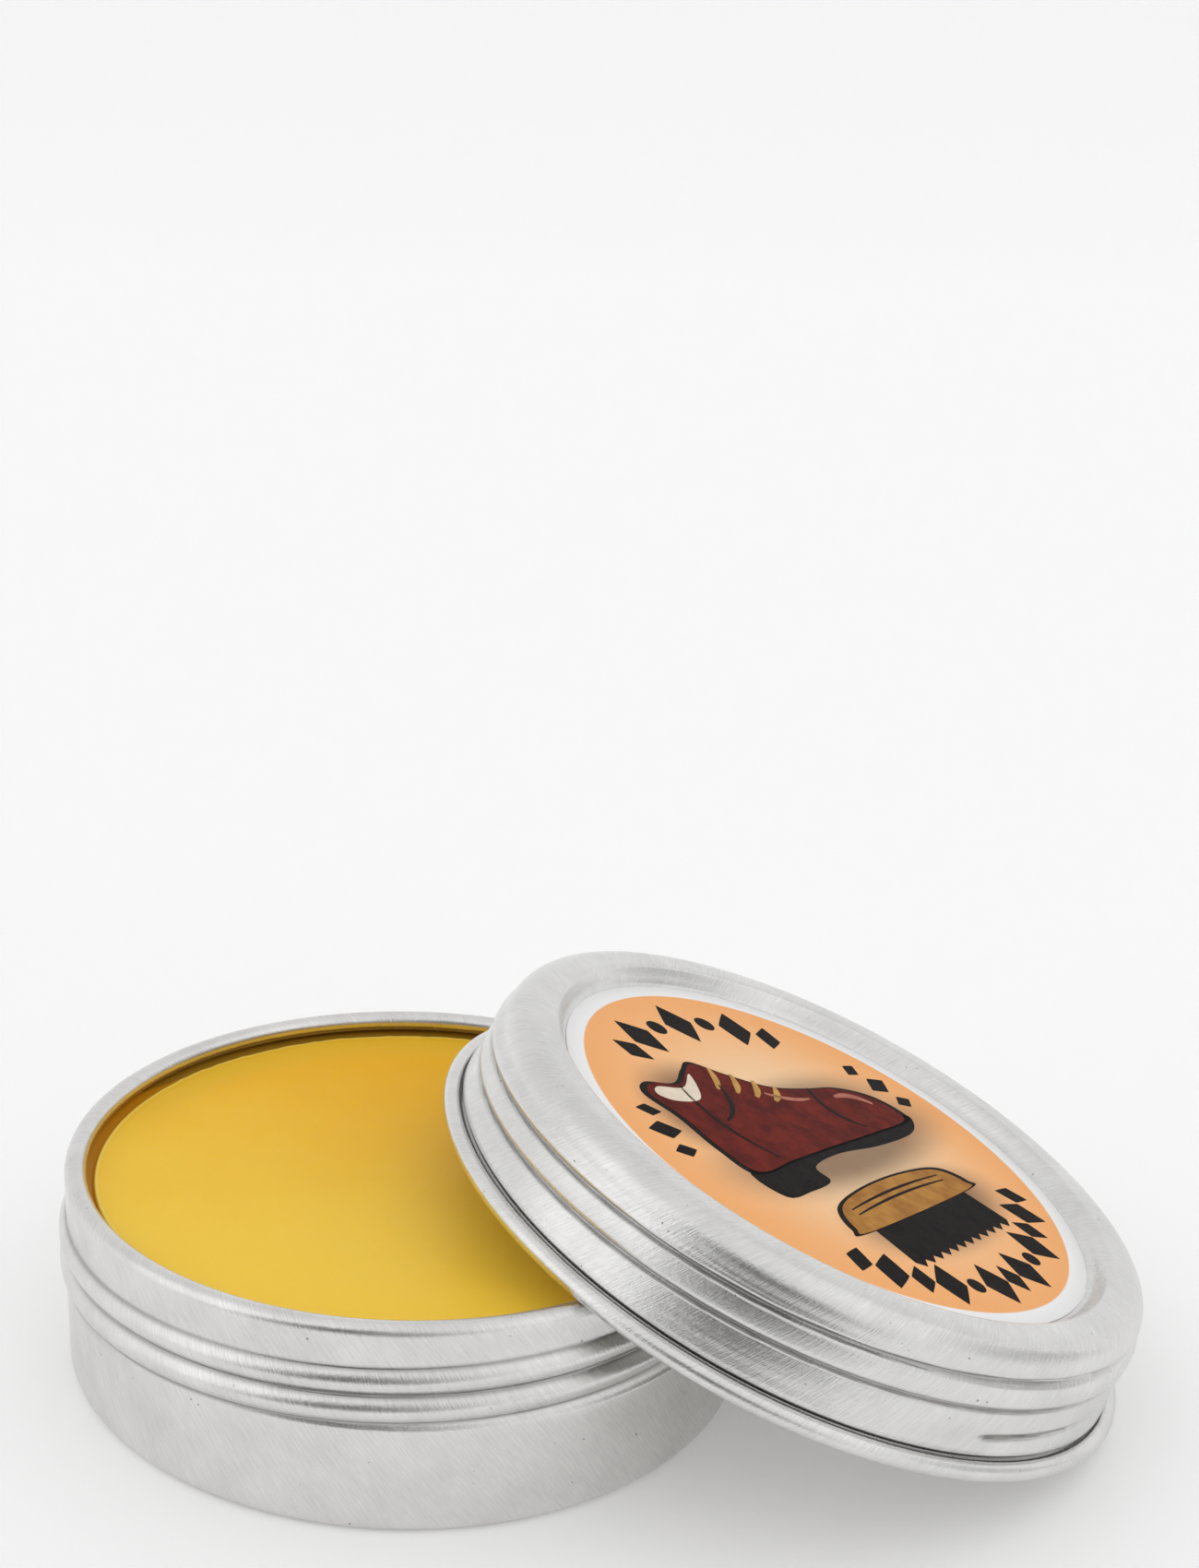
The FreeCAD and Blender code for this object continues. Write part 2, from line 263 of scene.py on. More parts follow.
def lid_thread(phi, r, z):
    """Narrow flat-bottomed grooves pressed into the skirt, with convex bands between."""
    press = np.zeros_like(r)
    for height, strength, run in helix_passes(phi, z, *LID_THREAD):
        deep = GROOVE_DEPTH + GROOVE_START_EXTRA * (1 - smoothstep(0.8, 1.7, run))
        channel = deep * (1 - smoothstep(0.14, 0.36, np.abs(height)))
        reach = np.where(height > 0, 0.7, LEAD / STARTS - 0.7)
        band = GROOVE_BAND * np.clip(1 - np.abs(height) / reach, 0, 1) ** 1.5
        press = np.maximum(press, strength * (channel + band))
    wall = (z > 2.0) & (z < 11.2) & (r > 33)
    fade = smoothstep(2.0, 2.8, z) * (1 - smoothstep(10.3, 11.1, z))
    return np.where(wall, -press * fade, 0), np.zeros_like(z)


def mark_creases(mesh, thread, at, soft, slot=None):
    """Point attribute "crease_shade": 1 in the creases, where the metal's material paints shade.
    They run at a distance (at) from the thread's centre line; slot is (low, high, inner,
    outer) of one more crease that runs level all round."""
    radius, angle, z = cylindrical(mesh)
    crease_shade = np.zeros_like(z)
    for height, strength, _ in helix_passes(angle, z, *thread):
        crease_shade = np.maximum(crease_shade, strength * np.exp(-(((np.abs(height) - at) / soft) ** 2)))
    crease_shade *= radius > 33.4
    if slot:
        low, high, inner, outer = slot
        crease_shade = np.maximum(crease_shade, (z > low) & (z < high) & (radius > inner) & (radius < outer))
    point_attribute(mesh, "crease_shade", crease_shade)
    return mesh


# ---------------------------------------------------------------- metal pieces
def thread_step(low, high, skin):
    """A step for resample: finest on the threaded outside, coarse on plain walls and floors."""

    def step(r, z):
        if r < 27:
            return 4.0
        if not low < z < high or r < 33:
            return 1.0
        return 0.13 if r > skin else 0.33

    return step


def tin_mesh():
    """Drawn cup: stepped floor, plain wall, neck with the thread, rim rolled inwards."""
    roll_r, roll_z = NECK_RADIUS - ROLL, RIM_TOP - ROLL
    inner = BODY_RADIUS - TIN_SHEET
    neck_in = NECK_RADIUS - TIN_SHEET
    outline = [(0, 0.12), (29.4, 0.12), (29.9, 0.0), (32.6, 0.0)]
    outline += arc(32.8, 1.2, 1.2, -90, 0, 9)
    outline += [(BODY_RADIUS, 10.5), (33.96, 10.9), (33.8, 11.3), (NECK_RADIUS, 11.7)]
    outline += arc(roll_r, roll_z, ROLL, 0, 290, 26)
    outline += arc(roll_r, roll_z, ROLL - TIN_SHEET, 290, 20, 14)
    outline += [(neck_in, roll_z - 1.2), (neck_in, 11.7), (33.45, 11.3), (33.61, 10.9)]
    outline += [(inner, 10.5), (inner, 1.5)]
    outline += arc(32.8, 1.2, 1.2 - TIN_SHEET, 0, -90, 6) + [(0, TIN_SHEET + 0.1)]
    mesh = spun("tin_wall", resample(outline, thread_step(10, 18.5, 33.6)), tin_thread)
    return mark_creases(mesh, TIN_THREAD, BEAD_HALF_WIDTH, 0.2)


def lid_mesh():
    """Raised ring round a recessed panel, threaded skirt, hem curled outwards."""
    panel, top = PANEL, LID_TOP
    crown_r, crown_z = 31.35, top - CROWN
    outline = [(0, panel), (27.9, panel), (28.25, panel + 0.06), (28.5, panel + 0.28)]
    outline += [(28.75, panel + 0.75), (29.0, panel + 1.2)]
    outline += arc(29.9, top - 0.85, 0.85, 155, 95, 6)
    outline += [(30.6, top), (31.2, top)] + arc(crown_r, crown_z, CROWN, 88, 2, 16)
    outline += [(34.0, 9.85), (34.2, 9.45), (34.42, 9.0), (34.55, 8.3), (34.58, 7.0)]
    outline += [(34.6, 5.2), (34.66, 4.2), (34.78, 3.3), (34.9, 2.6), (34.92, 2.15)]
    outline += [(34.8, 1.98), (34.55, 1.88), (34.4, 1.7), (34.5, 1.5)]
    outline += [(34.76, 1.38)] + arc(HEM_RADIUS, HEM_HEIGHT, HEM_ROLL - LID_SHEET, 150, 138, 2)
    outline += arc(HEM_RADIUS, HEM_HEIGHT, HEM_ROLL, 138, -90, 30)
    outline += arc(HEM_RADIUS, HEM_HEIGHT, HEM_ROLL, -90, -170, 9)
    outline += [(34.3, 1.1), (34.14, 1.7), (34.3, 2.1), (34.55, 2.5), (34.5, 3.3)]
    outline += [(34.34, 4.4), (34.33, 7.0), (34.3, 8.3)]
    outline += [(34.17, 9.0), (33.95, 9.45), (33.75, 9.85)]
    outline += arc(crown_r, crown_z, CROWN - LID_SHEET, 2, 88, 12)
    outline += [(30.6, top - LID_SHEET), (30.0, top - LID_SHEET - 0.02)]
    outline += [(29.4, 12.2), (29.1, 11.7), (28.9, 11.1), (28.5, 10.75), (28.1, 10.65), (0, 10.65)]
    mesh = spun("lid_metal", resample(outline, thread_step(2, 11, 34.46)), lid_thread)
    return mark_creases(mesh, LID_THREAD, 0.0, 0.3, (1.35, 2.0, 34.3, 34.82))


# ---------------------------------------------------------------- polish
def fill_edges(phi):
    """Radius of the flat of the polish, and of the thin skin round it. The skin reaches the
    wall in front, has come away behind, and its torn edge wanders there."""
    away = smoothstep(0.13, 0.62, np.cos(phi - math.radians(82)))
    waves = ((5, 0.06, 0.4), (13, 0.05, 2.0), (31, 0.05, 0.9), (67, 0.045, 3.1), (113, 0.035, 1.3))
    torn = sum(size * np.sin(count * phi + shift) for count, size, shift in waves)
    flat = FLAT_RADIUS + torn * smoothstep(0.3, 0.9, away) * 0.8
    skin = FILL_WALL + (flat + 0.12 - FILL_WALL) * away + torn * away
    return flat, np.maximum(skin, flat + 0.02), away


def fill_mesh():
    """Cast polish: dished flat with a thin raised lip, a lower skin out to the wall, a gap behind."""
    level = FILL_TOP
    rings = [(t, level) for t in (0, 5, 10, 14, 18, 21, 24, 26, 28, 29, 29.6)]
    rings += [(29.7 + 0.1 * i, level) for i in range(37)]
    outline = [(0, 0.48), (32.4, 0.48), (33.0, 0.8), (33.25, 1.4), (FILL_WALL, 3.0)]
    outline += [(FILL_WALL, 12.0), (FILL_WALL, level - 2.0)] + rings[::-1]

    def shape(phi, r, z):
        flat, skin, away = fill_edges(phi)
        lip = 0.1 * np.exp(-(((r - flat + 0.14) / 0.16) ** 2))
        dish = -0.35 * (1 - smoothstep(10, 31, r)) - 0.15 * (1 - smoothstep(28.6, 30.6, r))
        step = (0.14 * away - 0.34) * smoothstep(0, 0.16, r - flat)
        step = step + 0.5 * smoothstep(flat + 0.4, FILL_WALL, r)
        gap = -0.35 * smoothstep(0, 0.3, r - skin) * smoothstep(0.02, 0.3, away)
        return np.zeros_like(r), np.where(z > level - 0.01, lip + dish + step + gap, 0)

    mesh = spun("polish", resample(outline, lambda r, z: 3.0), shape, segments=720)
    radius, angle, z = cylindrical(mesh)
    flat, skin, away = fill_edges(angle)
    above = z > FILL_TOP - 5
    marks = {
        "skin": smoothstep(-0.02, 0.12, radius - flat) * above,
        "gap": smoothstep(-0.02, 0.15, radius - skin) * smoothstep(0.02, 0.3, away) * above,
        "lip": np.exp(-(((radius - flat + 0.1) / 0.14) ** 2)) * above,
    }
    for name, values in marks.items():
        point_attribute(mesh, name, values)
    return mesh


def liner_mesh():
    """Foam disc inside the lid, under the panel, pressed in a ring by the tin's rim."""
    low, high, edge = 9.58, 10.53, 33.3
    outline = [(0, high), (edge - 0.25, high)] + arc(edge - 0.25, high - 0.25, 0.25, 90, 0, 5)
    outline += arc(edge - 0.25, low + 0.25, 0.25, 0, -90, 5)
    outline += [(32.9, low), (32.6, low + 0.07), (31.8, low + 0.07), (31.5, low), (0, low)]
    return spun("liner", resample(outline, lambda r, z: 1.5), segments=240)


# ---------------------------------------------------------------- label
def smooth_loop(points, steps=8):
    """A closed Catmull-Rom curve through points."""
    out, count = [], len(points)
    for i in range(count):
        p0, p1, p2, p3 = (Vector(points[(i + k) % count]) for k in (-1, 0, 1, 2))
        for s in range(steps):
            t = s / steps
            out.append(
                0.5
                * (
                    2 * p1
                    + (p2 - p0) * t
                    + (2 * p0 - 5 * p1 + 4 * p2 - p3) * t * t
                    + (3 * p1 - p0 - 3 * p2 + p3) * t ** 3
                )
            )
    return [(p.x, p.y) for p in out]


def plate_mesh(name, shapes, floor, thickness):
    """Flat closed plates with the given outlines in the label's (right, up) directions."""
    verts, faces = [], []
    turn = math.radians(LABEL_TURN)
    for shape in shapes:
        area = sum(a[0] * b[1] - b[0] * a[1] for a, b in zip(shape, shape[1:] + shape[:1]))
        if area < 0:
            shape = shape[::-1]
        ring = [
            (x * math.cos(turn) - y * math.sin(turn), x * math.sin(turn) + y * math.cos(turn))
            for x, y in shape
        ]
        base, count = len(verts), len(ring)
        verts += [(x * MM, y * MM, floor * MM) for x, y in ring]
        verts += [(x * MM, y * MM, (floor + thickness) * MM) for x, y in ring]
        for a, b, c in tessellate_polygon([[Vector((x, y, 0)) for x, y in ring]]):
            ax, ay = ring[a]
            bx, by = ring[b]
            cx, cy = ring[c]
            if (bx - ax) * (cy - ay) - (by - ay) * (cx - ax) < 0:
                b, c = c, b
            faces.append((base + count + a, base + count + b, base + count + c))
            faces.append((base + c, base + b, base + a))
        for i in range(count):
            j = (i + 1) % count
            faces.append((base + i, base + j, base + count + j, base + count + i))
    mesh = bpy.data.meshes.new(name)
    mesh.from_pydata(verts, [], faces)
    return mesh


def lozenge(x, y, half_wide, half_high, angle):
    """A lozenge with slightly hollow sides, turned by angle (degrees)."""
    a = math.radians(angle)
    points = []
    for i in range(16):
        t = i / 16 * TAU
        c, s = math.cos(t), math.sin(t)
        u = half_wide * math.copysign(abs(c) ** 1.9, c)
        v = half_high * math.copysign(abs(s) ** 1.9, s)
        points.append((x + u * math.cos(a) - v * math.sin(a), y + u * math.sin(a) + v * math.cos(a)))
    return points


def disc(x, y, r, steps=20):
    turns = [i / steps * TAU for i in range(steps)]
    return [(x + r * math.cos(a), y + r * math.sin(a)) for a in turns]


def ornament_arc(radius, middle, spacing, sizes):
    """Lozenges on an arc about the label's centre, a dot where a size is negative."""
    shapes, count = [], len(sizes)
    for i, size in enumerate(sizes):
        angle = middle + spacing * (i - (count - 1) / 2)
        x, y = radius * math.cos(math.radians(angle)), radius * math.sin(math.radians(angle))
        if size > 0:
            shapes.append(lozenge(x, y, size * 0.66, size, angle - 90))
        else:
            shapes.append(disc(x, y, -size))
    return shapes


def shoe_outline():
    return smooth_loop([
        (-14.6, -5.2), (-15.4, -1.5), (-14.9, 3.0), (-15.2, 6.6), (-13.2, 7.9), (-9.8, 6.9),
        (-6.6, 8.2), (-4.2, 8.9), (-1.6, 6.4), (2.0, 3.6), (6.5, 2.2), (11.0, 1.3),
        (14.6, -0.8), (15.9, -3.6), (14.9, -5.2),
        (8.0, -5.3), (0.0, -5.2), (-8.0, -5.2),
    ])


def shift_shape(shape, dx, dy, scale=1.0):
    return [(x * scale + dx, y * scale + dy) for x, y in shape]


def sole_outline():
    return smooth_loop([
        (-15.6, -4.6), (-15.4, -8.6), (-11.5, -9.0), (-7.2, -8.7), (-6.6, -6.7), (-1.0, -6.2),
        (6.0, -6.9),
        (13.2, -6.9), (16.4, -5.6), (16.0, -4.4), (8.0, -4.4), (0.0, -4.4), (-8.0, -4.4),
    ], 5)


def band(points, width):
    """A ribbon of even width along an open run of points, tapered at both ends."""
    left, right = [], []
    for i, (x, y) in enumerate(points):
        x0, y0 = points[max(i - 1, 0)]
        x1, y1 = points[min(i + 1, len(points) - 1)]
        size = math.hypot(x1 - x0, y1 - y0)
        nx, ny = -(y1 - y0) / size, (x1 - x0) / size
        half = width / 2 * (0.35 + 0.65 * math.sin(math.pi * (i + 0.5) / len(points)))
        left.append((x + nx * half, y + ny * half))
        right.append((x - nx * half, y - ny * half))
    return left + right[::-1]


def bent(x0, y0, x1, y1, bulge, steps=9):
    """Points from one end to the other, bowed sideways by bulge."""
    out = []
    size = math.hypot(x1 - x0, y1 - y0)
    nx, ny = -(y1 - y0) / size, (x1 - x0) / size
    for i in range(steps):
        t = i / (steps - 1)
        bow = 4 * bulge * t * (1 - t)
        out.append((x0 + (x1 - x0) * t + nx * bow, y0 + (y1 - y0) * t + ny * bow))
    return out


def brush_parts():
    """A shoe brush seen from the side: handle, and bristles in tufts."""
    handle = smooth_loop([
        (-11.0, 0.0), (-9.2, 2.3), (-3.5, 3.2), (3.5, 3.2),
        (9.2, 2.3), (11.0, 0.0), (9.4, -0.9), (-9.4, -0.9),
    ])
    tufts = []
    for i in range(12):
        x = -8.25 + 1.5 * i
        lean = 0.05 * x
        tufts.append([
            (x - 0.76, -0.7), (x + 0.76, -0.7),
            (x + 0.85 + lean, -5.2), (x + lean, -5.9), (x - 0.85 + lean, -5.1),
        ])
    return handle, tufts


def label_art():
    """Plates of one colour each, in layers: a dress shoe over a brush, with ornaments round them."""

    def on_shoe(shape, scale=1.0):
        return shift_shape(shape, 0.6, 4.9, 1.09 * scale)

    def on_brush(shape, scale=1.0):
        return shift_shape(shape, 0, -10.4, 1.15 * scale)

    handle, tufts = brush_parts()
    laces = [
        band(bent(-5.4 + 1.9 * i, 5.1 - 1.1 * i, -2.9 + 1.9 * i, 7.9 - 1.45 * i, -0.25), 0.75)
        for i in range(4)
    ]
    seams = [
        band(bent(8.2, -4.4, 7.4, 2.2, 1.5), 0.55),
        band(bent(-9.6, -4.4, -9.9, 6.8, 1.4), 0.5),
        band(bent(-9.9, 1.2, -4.6, 5.6, -0.9), 0.5),
    ]
    mouth = smooth_loop([
        (-14.2, 6.4), (-13.0, 7.3), (-9.8, 6.4), (-6.6, 7.8), (-9.4, 4.6), (-12.8, 5.0),
    ])
    shine = [band(bent(9.6, 0.2, 14.0, -2.0, 0.7), 0.8), band(bent(0.2, 3.1, 5.6, 0.9, -0.5), 0.55)]
    grain = [band(bent(-8.5, 1.0 + 0.7 * i, 8.5, 1.0 + 0.7 * i, 0.35), 0.28) for i in range(2)]
    top = ornament_arc(20.9, 83, 11.6, (2.3, 3.2, -1.2, 3.4, -1.2, 3.2, 2.3))
    half_low = (2.0, 2.7, 2.0, 2.9, -1.0, 2.9)
    low = ornament_arc(22.2, 269, 8.6, half_low + (2.0,) + half_low[::-1])
    sides = ornament_arc(21.8, 13, 8.6, (1.5, 2.1, 1.5)) + ornament_arc(21.6, 160, 8.6, (1.5, 2.1, 1.5))
    black = [on_shoe(shoe_outline(), 1.05), on_shoe(sole_outline()), on_brush(handle, 1.07)]
    return {
        "ink": (black + [on_brush(tuft) for tuft in tufts] + top + low + sides, 0),
        "oxblood": ([on_shoe(shoe_outline())], 1),
        "straw": ([on_brush(handle)], 1),
        "ink_line": ([on_shoe(seam) for seam in seams] + [on_brush(line) for line in grain], 2),
        "gold": ([on_shoe(lace) for lace in laces], 2),
        "shine": ([on_shoe(mark) for mark in shine], 2),
        "lining": ([on_shoe(mouth)], 2),
    }


# ---------------------------------------------------------------- materials
def new_material(name):
    material = bpy.data.materials.new(name)
    material.use_nodes = True
    nodes = material.node_tree.nodes
    return material, nodes, material.node_tree.links, nodes["Principled BSDF"]


def math_node(nodes, links, operation, *values):
    node = nodes.new("ShaderNodeMath")
    node.operation = operation
    for socket, value in zip(node.inputs, values):
        if isinstance(value, (int, float)):
            socket.default_value = value
        else:
            links.new(value, socket)
    return node.outputs[0]


def noise(nodes, links, vector, scale, detail=3.0, rough=0.55):
    node = nodes.new("ShaderNodeTexNoise")
    node.inputs["Scale"].default_value = scale
    node.inputs["Detail"].default_value = detail
    node.inputs["Roughness"].default_value = rough
    links.new(vector, node.inputs["Vector"])
    return node.outputs["Fac"]


def ramp(nodes, links, value, low, high, out_low, out_high, smooth=False):
    node = nodes.new("ShaderNodeMapRange")
    if smooth:
        node.interpolation_type = "SMOOTHSTEP"
    limits = {"From Min": low, "From Max": high, "To Min": out_low, "To Max": out_high}
    for name, number in limits.items():
        node.inputs[name].default_value = number
    links.new(value, node.inputs["Value"])
    return node.outputs["Result"]


def colour_mix(nodes, links, factor, first, second):
    node = nodes.new("ShaderNodeMix")
    node.data_type = "RGBA"
    links.new(factor, node.inputs["Factor"])
    for socket, value in ((node.inputs["A"], first), (node.inputs["B"], second)):
        if isinstance(value, tuple):
            socket.default_value = (*value, 1)
        else:
            links.new(value, socket)
    return node.outputs["Result"]


def bump(nodes, links, height, distance, strength=1.0, under=None):
    node = nodes.new("ShaderNodeBump")
    node.inputs["Distance"].default_value = distance
    node.inputs["Strength"].default_value = strength
    links.new(height, node.inputs["Height"])
    if under:
        links.new(under, node.inputs["Normal"])
    return node.outputs["Normal"]


def object_place(nodes):
    return nodes.new("ShaderNodeTexCoord").outputs["Object"]


def brushed_metal(name, tint, turn):
    """Rolled aluminium: hairlines across the sheet, fine peel, a few pits, painted shade in creases."""
    material, nodes, links, shader = new_material(name)
    shader.inputs["Metallic"].default_value = 1.0
    sheet = nodes.new("ShaderNodeUVMap")
    sheet.uv_map = "sheet"
    turned = nodes.new("ShaderNodeMapping")
    turned.inputs["Rotation"].default_value = (0, 0, math.radians(turn))
    links.new(sheet.outputs["UV"], turned.inputs["Vector"])
    stretched = nodes.new("ShaderNodeMapping")
    stretched.inputs["Scale"].default_value = (350, 6500, 1)
    links.new(turned.outputs["Vector"], stretched.inputs["Vector"])
    hairs = noise(nodes, links, stretched.outputs["Vector"], 1.0, 4.0, 0.65)
    place = object_place(nodes)
    peel = noise(nodes, links, place, 2600, 3.0)
    cloud = noise(nodes, links, place, 150, 4.0, 0.6)
    pits = ramp(nodes, links, noise(nodes, links, place, 2300, 0.0), 0.86, 0.90, 0, 0.8)
    clouded = math_node(nodes, links, "MULTIPLY", cloud, 0.4)
    mix = math_node(nodes, links, "MULTIPLY_ADD", hairs, 0.6, clouded)
    links.new(ramp(nodes, links, mix, 0.35, 0.65, 0.15, 0.29), shader.inputs["Roughness"])
    shade = ramp(nodes, links, mix, 0.35, 0.65, 0.0, 1.0)
    light, dark = tint, tuple(0.80 * c for c in tint)
    clean = colour_mix(nodes, links, shade, light, dark)
    # Painted shade: the creases and the slit above the lid's hem are drawn darker, in place of their
    # shade and dark reflections
    crease_shade = nodes.new("ShaderNodeAttribute")
    crease_shade.attribute_name = "crease_shade"
    painted_shade_factor = math_node(nodes, links, "MULTIPLY", crease_shade.outputs["Fac"], CREASE_SHADE_STRENGTH)
    clean = colour_mix(nodes, links, painted_shade_factor, clean, (0.16, 0.155, 0.15))
    links.new(colour_mix(nodes, links, pits, clean, (0.25, 0.24, 0.23)), shader.inputs["Base Color"])
    scratched = bump(nodes, links, hairs, 0.00004, 0.75)
    peeled = bump(nodes, links, peel, 0.00003, 0.6, scratched)
    unpitted = math_node(nodes, links, "SUBTRACT", 1.0, pits)
    links.new(bump(nodes, links, unpitted, 0.00004, 1.0, peeled), shader.inputs["Normal"])
    return material


def wax_material():
    """Waxy golden polish: painted shade makes it deeper towards the back and in a band near the back
    edge, over a random tone; an amber skin at the wall, and painted shade in the gap where it has
    come away."""
    material, nodes, links, shader = new_material("polish_wax")
    place = object_place(nodes)
    split = nodes.new("ShaderNodeSeparateXYZ")
    links.new(place, split.inputs[0])
    x, y = split.outputs["X"], split.outputs["Y"]
    cloud = noise(nodes, links, place, 45, 3.0)
    radius = nodes.new("ShaderNodeVectorMath")
    radius.operation = "LENGTH"
    flat = nodes.new("ShaderNodeCombineXYZ")
    links.new(x, flat.inputs[0])
    links.new(y, flat.inputs[1])
    links.new(flat.outputs[0], radius.inputs[0])
    # Painted shade: deeper towards the back and a little towards the right, plus a random tone
    shade_and_tone = math_node(nodes, links, "MULTIPLY_ADD", y, 15.0, math_node(nodes, links, "MULTIPLY", x, 1.5))
    drift = math_node(nodes, links, "MULTIPLY_ADD", cloud, 0.5, -0.25)
    shade_and_tone = math_node(nodes, links, "ADD", shade_and_tone, drift)
    shade_and_tone_mix = ramp(nodes, links, shade_and_tone, -0.35, 0.45, 0, 1, True)
    near_edge = ramp(nodes, links, radius.outputs["Value"], 0.0245, 0.0295, 0, 1, True)
    behind = ramp(nodes, links, y, 0.002, 0.018, 0, 1, True)
    # Painted shade in a band near the back edge
    back_shade = math_node(nodes, links, "MULTIPLY", near_edge, behind)
    colour = colour_mix(nodes, links, shade_and_tone_mix, WAX_PALE, WAX_DEEP)
    colour = colour_mix(nodes, links, math_node(nodes, links, "MULTIPLY", back_shade, 0.6), colour, WAX_BACK_SHADE)
    # The gap colour is painted shade
    for name, shade, amount in (("lip", WAX_LIP, 0.6), ("skin", WAX_SKIN, 1.0), ("gap", WAX_GAP_SHADE, 1.0)):
        mark = nodes.new("ShaderNodeAttribute")
        mark.attribute_name = name
        factor = math_node(nodes, links, "MULTIPLY", mark.outputs["Fac"], amount)
        colour = colour_mix(nodes, links, factor, colour, shade)
    links.new(colour, shader.inputs["Base Color"])
    shader.inputs["Specular IOR Level"].default_value = 0.13
    shader.inputs["Subsurface Weight"].default_value = 0.25
    shader.inputs["Subsurface Radius"].default_value = (1.0, 0.55, 0.12)
    shader.inputs["Subsurface Scale"].default_value = 0.003
    fine = noise(nodes, links, place, 900, 4.0)
    links.new(ramp(nodes, links, fine, 0.3, 0.7, 0.34, 0.5), shader.inputs["Roughness"])
    wide = bump(nodes, links, cloud, 0.0006, 0.5)
    links.new(bump(nodes, links, fine, 0.00002, 0.6, wide), shader.inputs["Normal"])
    return material


def paper_material():
    """White paper printed peach to orange, with a soft shadow under the pictures."""
    material, nodes, links, shader = new_material("label_paper")
    place = object_place(nodes)
    turned = nodes.new("ShaderNodeMapping")
    turned.inputs["Rotation"].default_value = (0, 0, math.radians(-LABEL_TURN))
    links.new(place, turned.inputs["Vector"])
    split = nodes.new("ShaderNodeSeparateXYZ")
    links.new(turned.outputs["Vector"], split.inputs[0])
    x, y = split.outputs["X"], split.outputs["Y"]

    def ellipse(cx, cy, rx, ry, soft):
        """1 in the middle, falling to 0 at a soft edge."""
        dx = math_node(nodes, links, "DIVIDE", math_node(nodes, links, "SUBTRACT", x, cx * MM), rx * MM)
        dy = math_node(nodes, links, "DIVIDE", math_node(nodes, links, "SUBTRACT", y, cy * MM), ry * MM)
        dy_square = math_node(nodes, links, "MULTIPLY", dy, dy)
        square = math_node(nodes, links, "MULTIPLY_ADD", dx, dx, dy_square)
        away = math_node(nodes, links, "SQRT", square)
        return ramp(nodes, links, away, 1 - soft, 1 + soft, 1, 0, True)

    centre = ellipse(0, 0, PRINT_RADIUS * 0.62, PRINT_RADIUS * 0.62, 0.62)
    print_on = ramp(nodes, links, ellipse(0, 0, PRINT_RADIUS, PRINT_RADIUS, 0.004), 0, 1, 0, 1)
    shadow = ellipse(1.4, -0.4, 19.0, 5.8, 0.4)
    for oval in ((-9.6, 7.6, 8.4, 7.2, 0.35), (1.4, -11.6, 13.0, 5.4, 0.35), (4.4, 3.8, 13.4, 5.0, 0.5)):
        shadow = math_node(nodes, links, "MAXIMUM", shadow, ellipse(*oval))
    ink = colour_mix(nodes, links, centre, (0.98, 0.46, 0.165), (0.98, 0.68, 0.40))
    shaded = math_node(nodes, links, "MULTIPLY", shadow, 0.75)
    ink = colour_mix(nodes, links, shaded, ink, (0.10, 0.035, 0.012))
    links.new(colour_mix(nodes, links, print_on, (0.95, 0.95, 0.95), ink), shader.inputs["Base Color"])
    shader.inputs["Specular IOR Level"].default_value = 0.12
    fibre = noise(nodes, links, place, 5200, 4.0, 0.7)
    cloud = noise(nodes, links, place, 320, 3.0)
    links.new(ramp(nodes, links, cloud, 0.3, 0.7, 0.38, 0.52), shader.inputs["Roughness"])
    links.new(bump(nodes, links, fibre, 0.000012, 0.6), shader.inputs["Normal"])
    return material


def print_material(name, first, second):
    """Printing ink with a slight mottle and the paper's tooth."""
    material, nodes, links, shader = new_material(name)
    place = object_place(nodes)
    mottle = ramp(nodes, links, noise(nodes, links, place, 420, 4.0, 0.65), 0.38, 0.62, 0, 1)
    links.new(colour_mix(nodes, links, mottle, first, second), shader.inputs["Base Color"])
    shader.inputs["Specular IOR Level"].default_value = 0.03
    fibre = noise(nodes, links, place, 5200, 4.0, 0.7)
    links.new(ramp(nodes, links, fibre, 0.3, 0.7, 0.36, 0.5), shader.inputs["Roughness"])
    links.new(bump(nodes, links, fibre, 0.000012, 0.6), shader.inputs["Normal"])
    return material


def foam_material():
    """White closed-cell foam."""
    material, nodes, links, shader = new_material("liner_foam")
    place = object_place(nodes)
    cells = nodes.new("ShaderNodeTexVoronoi")
    cells.inputs["Scale"].default_value = 2200
    links.new(place, cells.inputs["Vector"])
    cloud = noise(nodes, links, place, 300, 3.0)
    white = colour_mix(nodes, links, cloud, (0.86, 0.86, 0.84), (0.78, 0.78, 0.75))
    links.new(white, shader.inputs["Base Color"])
    links.new(ramp(nodes, links, cloud, 0.3, 0.7, 0.6, 0.8), shader.inputs["Roughness"])
    links.new(bump(nodes, links, cells.outputs["Distance"], 0.00008, 0.7), shader.inputs["Normal"])
    return material


# ---------------------------------------------------------------- build
def build_object():
    tin = add_piece("tin_wall", tin_mesh(), TIN, "tin", "tin_base")
    tin.data.materials.append(brushed_metal("tin_aluminium", (0.80, 0.79, 0.775), 55))
    fill = add_piece("polish", fill_mesh(), TIN, "tin", "polish_fill")
    fill.data.materials.append(wax_material())
    lid = add_piece("lid_metal", lid_mesh(), LID, "lid", "lid_shell")
    lid.data.materials.append(brushed_metal("lid_aluminium", (0.80, 0.795, 0.78), 58))
    liner = add_piece("liner_disc", liner_mesh(), LID, "liner", "lid_liner")
    liner.data.materials.append(foam_material())
    build_label()


